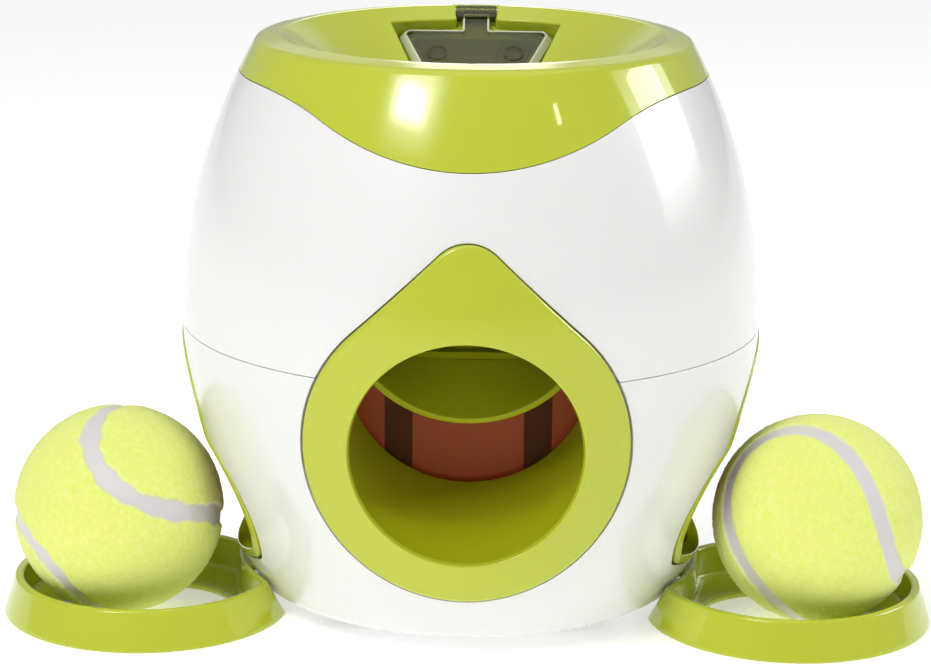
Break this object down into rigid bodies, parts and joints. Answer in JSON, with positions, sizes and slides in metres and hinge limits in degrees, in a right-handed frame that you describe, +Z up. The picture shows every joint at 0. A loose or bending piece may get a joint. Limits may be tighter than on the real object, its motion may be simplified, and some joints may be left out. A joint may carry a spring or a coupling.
{
  "type": "pet ball and treat dispenser",
  "caption": "Barrel-shaped pet machine: a ball dropped in the bowl on top turns a treat wheel, then rolls out of a side doorway into a tray while treats fall to the front opening.",
  "frame": {"origin": "on the ground, at the centre of the machine's outline seen from above", "axes": "+Z up, -Y towards the round treat opening, +X towards the right-hand doorway seen from the front"},
  "size_m": [0.2884, 0.1807, 0.178],
  "materials": {
    "white_shell": "gloss",
    "green_plastic": "gloss",
    "smoked_clear": "smoked clear plastic, polished",
    "orange_plastic": "satin",
    "dark_plastic": "satin",
    "steel": "bright",
    "foot_rubber": "matt",
    "ball_felt": "felt"
  },
  "bodies": {
    "machine": {"lower_housing": "white_shell", "upper_housing": "white_shell", "top_bowl": "green_plastic", "lid_pin": "steel", "front_bezel": "green_plastic", "exit_bezel_right": "green_plastic", "exit_bezel_left": "green_plastic", "treat_cup": "green_plastic", "treat_spout": "green_plastic", "treat_slide": "green_plastic", "drop_tube": "green_plastic", "shaft_bushes": "dark_plastic", "treat_hopper": "white_shell", "ball_runway": "orange_plastic", "ball_guide": "orange_plastic", "diverter_pin": "steel", "base_plate": "white_shell", "rubber_feet": "foot_rubber", "base_screws": "steel", "housing_screws": "steel", "bowl_screws": "steel", "hopper_screws": "steel"},
    "lid": {"treat_lid": "smoked_clear"},
    "wheel": {"treat_wheel": "orange_plastic", "wheel_shaft": "steel"},
    "flap": {"diverter_flap": "dark_plastic"},
    "tray_right": {"ball_tray_right": "green_plastic"},
    "tray_left": {"ball_tray_left": "green_plastic"},
    "ball_right": {"tennis_ball_right": "ball_felt"},
    "ball_left": {"tennis_ball_left": "ball_felt"}
  },
  "joints": [
    {"name": "lid_hinge", "type": "hinge", "parent": "machine", "child": "lid", "pos_m": [0, 0.058, 0.176], "axis": [-1, 0, 0], "range_deg": [0, 140]},
    {"name": "wheel_spin", "type": "hinge", "parent": "machine", "child": "wheel", "pos_m": [0, 0.0486, 0.132], "axis": [1, 0, 0], "continuous": true},
    {"name": "flap_rock", "type": "hinge", "parent": "machine", "child": "flap", "pos_m": [0, 0, 0.033], "axis": [0, 1, 0], "range_deg": [0, 36]},
    {"name": "tray_right_pull", "type": "slide", "parent": "machine", "child": "tray_right", "axis": [1, 0, 0], "range_m": [0, 0.06]},
    {"name": "tray_left_pull", "type": "slide", "parent": "machine", "child": "tray_left", "axis": [-1, 0, 0], "range_m": [0, 0.06]},
    {"name": "ball_right_lift", "type": "slide", "parent": "tray_right", "child": "ball_right", "axis": [0.7071, 0, 0.7071], "range_m": [0, 0.1]},
    {"name": "ball_left_lift", "type": "slide", "parent": "tray_left", "child": "ball_left", "axis": [-0.7071, 0, 0.7071], "range_m": [0, 0.1]}
  ]
}
